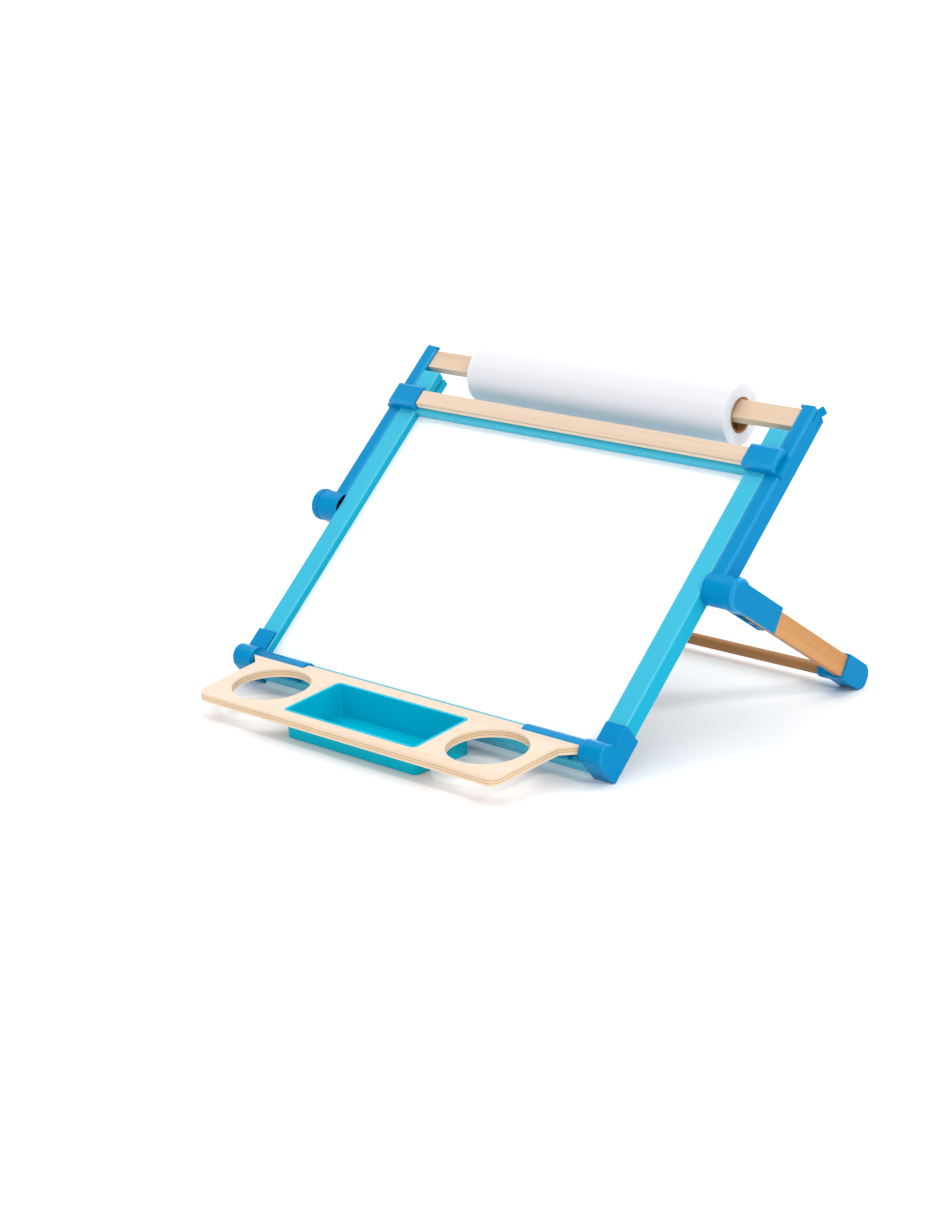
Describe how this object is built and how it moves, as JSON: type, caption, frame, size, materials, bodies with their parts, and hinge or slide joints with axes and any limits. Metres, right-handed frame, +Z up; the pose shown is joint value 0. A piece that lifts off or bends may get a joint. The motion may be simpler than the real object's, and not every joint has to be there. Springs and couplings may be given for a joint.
{
  "type": "tabletop drawing easel",
  "caption": "Double-sided tabletop easel: dry-erase board and chalkboard in a painted frame on a folding leg frame, with paper-roll bar, clamp bar and hinged tray.",
  "frame": {"origin": "on the desk under the middle of the object's box", "axes": "+X to the viewer's right along the board's width, +Y to the back, +Z up"},
  "size_m": [0.5, 0.4705, 0.2922],
  "materials": {
    "sky_paint": "gloss light-blue paint on wood",
    "blue_plastic": "moulded, semi-gloss",
    "whiteboard_film": "gloss dry-erase face on hardboard",
    "sheet_steel": "bare sheet",
    "chalk_face": "matt chalk paint on hardboard",
    "birch": "clear satin varnish",
    "birch_ply": "clear satin varnish, plies seen on the edges",
    "beech": "clear satin varnish",
    "paper": "plain white drawing paper",
    "card": "plain brown core",
    "tub_plastic": "moulded, semi-gloss",
    "zinc_steel": "zinc plated",
    "brass": "plain"
  },
  "bodies": {
    "frame": {"left_side_rail": "sky_paint", "right_side_rail": "sky_paint", "top_rail": "sky_paint", "bottom_rail": "sky_paint", "whiteboard_panel": "whiteboard_film", "steel_sheet": "sheet_steel", "chalkboard_panel": "chalk_face", "frame_screws": "zinc_steel", "left_corner_bracket": "blue_plastic", "right_corner_bracket": "blue_plastic", "bracket_screws": "zinc_steel", "left_arm": "blue_plastic", "right_arm": "blue_plastic", "arm_screws": "zinc_steel", "left_guide_block": "blue_plastic", "right_guide_block": "blue_plastic", "block_screws": "zinc_steel", "clamp_bar": "birch", "pivot_washers": "zinc_steel"},
    "legs": {"left_leg_socket": "blue_plastic", "right_leg_socket": "blue_plastic", "left_leg": "beech", "right_leg": "beech", "left_foot": "blue_plastic", "right_foot": "blue_plastic", "crossbar": "beech", "pivot_screws": "zinc_steel", "threaded_inserts": "brass", "socket_screws": "zinc_steel", "foot_screws": "zinc_steel"},
    "tray": {"tray_board": "birch_ply", "left_hinge_strip": "blue_plastic", "right_hinge_strip": "blue_plastic", "hinge_pins": "zinc_steel", "strip_screws": "zinc_steel"},
    "tub": {"tray_tub": "tub_plastic"},
    "bar": {"roll_bar": "birch"},
    "roll": {"roll_core": "card", "paper_roll": "paper"}
  },
  "joints": [
    {"name": "leg_fold", "type": "hinge", "parent": "frame", "child": "legs", "pos_m": [0, 0.01195, 0.14089], "axis": [-1, 0, 0], "range_deg": [0, 106.79]},
    {"name": "tray_fold", "type": "hinge", "parent": "frame", "child": "tray", "pos_m": [0, -0.13584, 0.02702], "axis": [-1, 0, 0], "range_deg": [0, 142.8]},
    {"name": "tub_lift", "type": "slide", "parent": "tray", "child": "tub", "axis": [0, 0.0854, -0.9963], "range_m": [-0.05, 0]},
    {"name": "roll_bar_lift", "type": "slide", "parent": "frame", "child": "bar", "axis": [0, -0.742, -0.6704], "range_m": [-0.035, 0]},
    {"name": "roll_spin", "type": "hinge", "parent": "bar", "child": "roll", "pos_m": [-0.0016, 0.15238, 0.26284], "axis": [1, 0, 0], "continuous": true}
  ]
}
